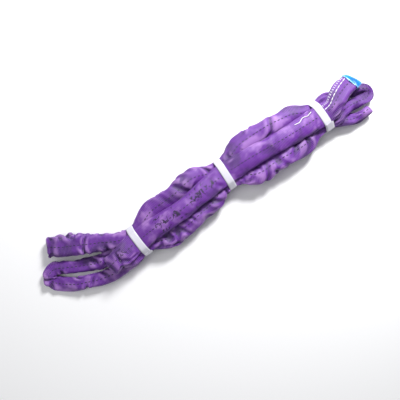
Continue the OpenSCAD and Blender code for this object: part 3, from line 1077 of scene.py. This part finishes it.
class SlingSizes(bpy.types.PropertyGroup):
    sleeve_girth: length("Sleeve girth", "Distance round the woven sleeve", 0.082, 0.05)
    ring_spacing: length("Ring spacing", "Spacing of the settling mesh along the sleeve", 0.006, 0.004)
    fill_pressure: bpy.props.FloatProperty(
        name="Fill pressure",
        description="How hard the yarn pushes the sleeve out as it settles",
        default=0.45,
        min=0.0,
    )
    core_share: bpy.props.FloatProperty(
        name="Core share",
        description="Width of the yarn core against the sleeve",
        default=0.45,
        min=0.1,
        max=0.8,
        subtype="FACTOR",
    )
    dash_length: length("Marker stitch", "Length of one stitch of the dark centre line", 0.0042, 0.001)
    dash_gap: length("Marker gap", "Gap between stitches of the dark centre line", 0.0027, 0.0005)
    thread_width: length("Thread width", "Width of a line of stitches", 0.0016, 0.0003)
    join_thread_width: length("Joining thread", "Width of the white joining stitches", 0.0013, 0.0003)
    strap_width: length("Strap width", "Width of the three ties", 0.013, 0.005)
    strap_thickness: length("Strap thickness", "Thickness of the ties", 0.0008, 0.0003)
    label_width: length("Label width", "Width of the label, across the sleeve", 0.041, 0.01)
    label_length: length("Label length", "Length of the label, both faces of the fold", 0.031, 0.01)


class SlingColours(bpy.types.PropertyGroup):
    sleeve: tint("Sleeve", "Violet of the sleeve", (0.098, 0.005, 0.25))
    # paler violet, used as painted highlight on raised folds and in broad patches, and for the raised threads of the
    # weave
    sleeve_pale: tint("Sleeve, stretched", "Paler violet where the weave is stretched", (0.44, 0.23, 0.60))
    # deep violet: painted shade in creases, in broad patches and along the selvedges; also the woven stripes
    sleeve_deep: tint("Sleeve, in folds", "Deep violet in the folds", (0.022, 0.001, 0.075))
    ink: tint("Ink", "Worn printing", (0.012, 0.004, 0.03))
    strapping: tint("Strapping", "White of the ties", (0.60, 0.59, 0.67))
    label: tint("Label", "Blue of the label", (0.0, 0.22, 0.62))
    # deeper blue: painted shade over the label's crinkles
    label_deep: tint("Label, in creases", "Deeper blue of the label", (0.0, 0.09, 0.36))
    floor: tint("Floor", "Pale floor", (0.93, 0.93, 0.94))


# ---------------------------------------------------------------------------
# Pieces
# ---------------------------------------------------------------------------


class SLING_OT_stage(bpy.types.Operator):
    """Adds the camera, the pale floor and the soft lights"""

    bl_idname = "sling.stage"
    bl_label = "Camera, floor and lights"

    def execute(self, context):
        camera = bpy.data.objects.new("camera", bpy.data.cameras.new("camera"))
        context.scene.collection.objects.link(camera)
        camera.location = CAMERA_PLACE
        camera.rotation_euler = CAMERA_TURN
        camera.data.angle = CAMERA_ANGLE
        camera.data.clip_start, camera.data.clip_end = 0.01, 20
        context.scene.camera = camera
        mesh = bpy.data.meshes.new("floor")
        mesh.from_pydata([(-6, -6, 0), (6, -6, 0), (6, 6, 0), (-6, 6, 0)], [], [(0, 1, 2, 3)])
        mesh.materials.append(floor_finish())
        floor = bpy.data.objects.new("floor", mesh)
        context.scene.collection.objects.link(floor)
        world = bpy.data.worlds.new("studio")
        world.use_nodes = True
        sky = world.node_tree.nodes.get("Background") or world.node_tree.nodes.new("ShaderNodeBackground")
        sky.inputs["Color"].default_value = (0.97, 0.98, 1.0, 1)
        sky.inputs["Strength"].default_value = 0.3
        context.scene.world = world
        context.scene.view_settings.view_transform = "Standard"
        for name, place, size, power in LIGHTS:
            lamp = bpy.data.lights.new(name, "AREA")
            lamp.shape, lamp.size, lamp.size_y, lamp.energy = "RECTANGLE", *size, power
            light = bpy.data.objects.new(name, lamp)
            context.scene.collection.objects.link(light)
            light.location = place
            light.rotation_euler = (-Vector(place)).to_track_quat("-Z", "Y").to_euler()
        return {"FINISHED"}


class SLING_OT_thread_tail(bpy.types.Operator):
    """Lays the loose end of joining thread on the top run beside the right tie"""

    bl_idname = "sling.thread_tail"
    bl_label = "Loose thread end"

    def execute(self, context):
        size, s = sling_sizes(), surface()
        points = []
        for x, y in TAIL_ROUTE:
            points.append(s.on_top(x, y) + UP * 0.75)
        points = np.array(points)
        fine = np.linspace(0, len(points) - 1, 60)
        route = np.stack([np.interp(fine, range(len(points)), points[:, i]) for i in range(3)], 1)
        for _ in range(6):
            route[1:-1] = (route[:-2] + 2 * route[1:-1] + route[2:]) / 4
        curve = bpy.data.curves.new("join_thread_tail_line", "CURVE")
        curve.dimensions = "3D"
        curve.bevel_depth = size.join_thread_width / 2
        curve.bevel_resolution = 3
        curve.use_fill_caps = True
        line = curve.splines.new("POLY")
        line.points.add(len(route) - 1)
        for point, place in zip(line.points, route):
            point.co = (*(place * MM), 1)
        curve.materials.append(thread("join_thread", (0.62, 0.62, 0.64), (0.9, 0.9, 0.9), 0.45))
        tail = bpy.data.objects.new("thread_tail", curve)
        context.scene.collection.objects.link(tail)
        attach(tail, "right_tied_section")
        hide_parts("join_thread_tail")
        return {"FINISHED"}


class SLING_OT_sleeves(bpy.types.Operator):
    """Builds the woven sleeve: two spans of six runs each, and six end loops"""

    bl_idname = "sling.sleeves"
    bl_label = "Woven sleeve"

    def execute(self, context):
        cloth = sleeve_cloth()
        for region, lengths in by_region():
            piece = tube_piece(f"sleeve_{region}_cloth", lengths, cloth)
            join_to_frame(piece, region)
            stands_for("sleeve", region)
        return {"FINISHED"}


class SLING_OT_core_yarn(bpy.types.Operator):
    """Builds the load yarn inside the sleeve"""

    bl_idname = "sling.core_yarn"
    bl_label = "Core yarn"

    def execute(self, context):
        yarn = core_yarn()
        for region, lengths in by_region():
            piece = tube_piece(
                f"core_{region}_yarn", lengths, yarn, step=3, shrink=sling_sizes().core_share, coarse=2
            )
            join_to_frame(piece, region)
            stands_for("core", region)
        return {"FINISHED"}


class SLING_OT_marker_thread(bpy.types.Operator):
    """Sews the dark broken centre line on both faces of the sleeve"""

    bl_idname = "sling.marker_thread"
    bl_label = "Dark centre stitches"

    def execute(self, context):
        size, s = sling_sizes(), surface()
        dark = thread("marker_thread", (0.008, 0.006, 0.02), (0.05, 0.04, 0.08), 0.6)
        for region, lengths in by_region():
            rows = []
            for a, b in lengths:
                for share in (0.25, 0.75):
                    rows.append(
                        stitch_row(
                            (a + 3) * s.pitch,
                            (b - 3) * s.pitch,
                            s.girth * share,
                            size.dash_length / MM,
                            size.dash_gap / MM,
                            size.thread_width / MM,
                            0.42,
                        )
                    )
            piece = new_piece(f"marker_{region}_stitches", *gathered(rows), dark)
            join_to_frame(piece, region)
            stands_for("marker_thread", region)
        return {"FINISHED"}


class SLING_OT_join_stitching(bpy.types.Operator):
    """Sews the white rows that close the sleeve beside the label"""

    bl_idname = "sling.join_stitching"
    bl_label = "White joining stitches"

    def execute(self, context):
        size, s = sling_sizes(), surface()
        white = thread("join_stitches", (0.66, 0.66, 0.68), (0.92, 0.92, 0.92), 0.4)
        start, tip = s.tie_row("label_bight") * s.pitch, s.label_tip() * s.pitch
        rows = []
        for first, last, dash, gap, wide in JOIN_ROWS:
            rows.append(
                stitch_row(
                    start + 9,
                    tip - 16,
                    0,
                    dash,
                    gap,
                    wide * size.join_thread_width / MM,
                    0.55,
                    wander=([start, tip], [s.girth * first, s.girth * last]),
                )
            )
        piece = new_piece("join_rows", *gathered(rows), white)
        join_to_frame(piece, "label_bight")
        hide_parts("join_stitching")
        return {"FINISHED"}


class SLING_OT_label(bpy.types.Operator):
    """Folds the blue label over the tip of its loop"""

    bl_idname = "sling.label"
    bl_label = "Label"

    def execute(self, context):
        size, s = sling_sizes(), surface()
        tip = s.label_tip() * s.pitch
        half_u, half_v = size.label_length / MM / 2, size.label_width / MM / 2
        nu, nv = 44, 36
        us = np.linspace(-half_u, half_u, nu)
        vs = np.linspace(-half_v, half_v, nv)
        grid = np.zeros((nu, nv, 3))
        for i, u in enumerate(us):
            out = abs(u) / half_u
            pucker = 0.5 + 0.35 * np.sin(vs * 0.55 + 1.0) * min(1, out) ** 2 + 0.25 * out**3
            place, away = s.at(np.full(nv, tip + u), s.girth / 4 + vs)
            grid[i] = place + away * pucker[:, None]
        for _ in range(3):
            grid[1:-1] = (grid[:-2] + 2 * grid[1:-1] + grid[2:]) / 4
            grid[:, 1:-1] = (grid[:, :-2] + 2 * grid[:, 1:-1] + grid[:, 2:]) / 4
        verts = grid.reshape(-1, 3)
        faces, uv = [], []
        for i in range(nu - 1):
            for j in range(nv - 1):
                faces.append((i * nv + j, i * nv + j + 1, (i + 1) * nv + j + 1, (i + 1) * nv + j))
                for a, b in ((i, j), (i, j + 1), (i + 1, j + 1), (i + 1, j)):
                    uv.extend((us[a] * MM, vs[b] * MM))
        label = new_piece("label_folded", verts, faces, label_film())
        layout = label.data.uv_layers.new(name="cloth_layout")
        layout.data.foreach_set("uv", np.array(uv, np.float32))
        thicken(label, 0.0004)
        join_to_frame(label, "label_bight")
        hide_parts("label")
        return {"FINISHED"}


def thicken(piece, thickness):
    """Gives a sheet its thickness in its mesh."""
    solid = piece.modifiers.new("thickness", "SOLIDIFY")
    solid.thickness = thickness
    solid.offset = 1
    shown = piece.evaluated_get(bpy.context.evaluated_depsgraph_get())
    mesh = bpy.data.meshes.new_from_object(shown)
    old = piece.data
    piece.modifiers.clear()
    piece.data = mesh
    bpy.data.meshes.remove(old)
    mesh.name = piece.name


class SLING_OT_ties(bpy.types.Operator):
    """Draws the three white ties tight round the bundle"""

    bl_idname = "sling.ties"
    bl_label = "Ties"

    def execute(self, context):
        plastic = strap_plastic()
        for name, tie in TIES.items():
            band = tie_band(name, tie, plastic)
            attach(band, f"{name}_tied_section")
            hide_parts(f"tie_{name}")
        return {"FINISHED"}


def outline_round(tie):
    """Closed line drawn tight round the bundle under a tie, in the tie's own side and height, anticlockwise."""
    s = surface()
    near = np.abs((s.nominal[:, :2] - TO_CENTRE[:2] - np.array(tie[:2])) @ heading(tie[2])[:2]) < 9
    near &= np.linalg.norm(s.nominal[:, :2] - TO_CENTRE[:2] - np.array(tie[:2]), axis=1) < 40
    points = s.grid[near].reshape(-1, 3) - TO_CENTRE
    flat = np.stack([(points[:, :2] - np.array(tie[:2])) @ left_of(tie[2])[:2], points[:, 2]], 1)
    centre = np.array([0, 19.8])
    angles = np.linspace(0, 2 * math.pi, 128, endpoint=False)
    ways = np.stack([np.cos(angles), np.sin(angles)], 1)
    reach = np.quantile(flat @ ways.T, 0.995, axis=0) - ways @ centre
    reach = smoothed(reach, 4)
    slope = (np.roll(reach, -1) - np.roll(reach, 1)) / (2 * (angles[1] - angles[0]))
    turned = np.stack([-np.sin(angles), np.cos(angles)], 1)
    line = centre + ways * reach[:, None] + turned * slope[:, None]
    line[:, 1] = np.maximum(line[:, 1], 0.9)
    return smoothed(line, 3)


def tie_band(name, tie, plastic):
    size = sling_sizes()
    wide, thick = size.strap_width / MM, size.strap_thickness / MM
    line = outline_round(tie)
    ahead = np.roll(line, -1, 0) - np.roll(line, 1, 0)
    ahead /= np.linalg.norm(ahead, axis=1)[:, None]
    out = np.stack([ahead[:, 1], -ahead[:, 0]], 1)
    lengths = np.r_[0, np.cumsum(np.linalg.norm(np.diff(np.vstack([line, line[:1]]), axis=0), axis=1))]
    count = len(line)
    verts, faces, uv = [], [], []
    h, l = heading(tie[2]), left_of(tie[2])

    def sweep(first, last, lift, width, shift, skew, closed):
        profile = []
        for k in np.linspace(-1, 1, 7):
            profile.append((k * width / 2, thick * 0.98 - 0.12 * abs(k) ** 4))
        for k in np.linspace(1, -1, 7):
            profile.append((k * width / 2 * 0.985, 0.06))
        base = len(verts)
        rows = list(range(first, last))
        for i in rows:
            p, o = line[i % count], out[i % count]
            for along, high in profile:
                side = p + o * (lift + high)
                x = along + shift + skew * (i - first) / max(1, last - first)
                verts.append(np.array([tie[0], tie[1], 0]) + h * x + l * side[0] + UP * side[1] + TO_CENTRE)
        around = len(profile)
        steps = len(rows) if closed else len(rows) - 1
        for i in range(steps):
            for j in range(around):
                a, b = base + i * around, base + (i + 1) % len(rows) * around
                j2 = (j + 1) % around
                faces.append((a + j2, a + j, b + j, b + j2))
                u0, u1 = lengths[i % count], lengths[i % count] + 1
                for u, k in ((u0, j2), (u0, j), (u1, j), (u1, j2)):
                    uv.extend((u * MM, profile[k][0] * MM))
        if not closed:
            for i, flip in ((0, False), (len(rows) - 1, True)):
                ring = [base + i * around + j for j in range(around)]
                faces.append(ring if flip else ring[::-1])
                uv.extend([0.0, 0.0] * around)

    sweep(0, count, 0.12, wide, 0, 0, True)
    for first, last, width, shift, skew in OVERLAPS.get(name, ()):
        sweep(int(first * count), int(last * count), 0.16 + thick, width, shift, skew, False)
    band = new_piece(f"tie_{name}_strap", verts, faces, plastic)
    layout = band.data.uv_layers.new(name="cloth_layout")
    layout.data.foreach_set("uv", np.array(uv, np.float32))
    return band


def by_region():
    regions = {}
    for name, a, b in surface().lengths():
        regions.setdefault(name, []).append((a, b))
    return list(regions.items())


class SLING_PT_panel(bpy.types.Panel):
    bl_idname = "SLING_PT_panel"
    bl_label = "Tied round sling"
    bl_space_type = "VIEW_3D"
    bl_region_type = "UI"
    bl_category = "Sling"

    def draw(self, context):
        layout = self.layout
        for operator in OPERATORS:
            layout.operator(operator.bl_idname)
        for group in (context.scene.sling_sizes, context.scene.sling_colours):
            box = layout.box()
            for name in group.__annotations__:
                box.prop(group, name)


OPERATORS = (
    SLING_OT_stage,
    SLING_OT_thread_tail,
    SLING_OT_sleeves,
    SLING_OT_core_yarn,
    SLING_OT_marker_thread,
    SLING_OT_join_stitching,
    SLING_OT_label,
    SLING_OT_ties,
)
CLASSES = (SlingSizes, SlingColours, *OPERATORS, SLING_PT_panel)


def register():
    for used in CLASSES:
        bpy.utils.register_class(used)
    bpy.types.Scene.sling_sizes = bpy.props.PointerProperty(type=SlingSizes)
    bpy.types.Scene.sling_colours = bpy.props.PointerProperty(type=SlingColours)


def unregister():
    del bpy.types.Scene.sling_colours
    del bpy.types.Scene.sling_sizes
    for used in reversed(CLASSES):
        bpy.utils.unregister_class(used)


def main():
    register()
    bpy.ops.sling.stage()
    bpy.ops.sling.thread_tail()
    bpy.ops.sling.sleeves()
    bpy.ops.sling.core_yarn()
    bpy.ops.sling.marker_thread()
    bpy.ops.sling.join_stitching()
    bpy.ops.sling.label()
    bpy.ops.sling.ties()


if __name__ == "__main__":
    main()
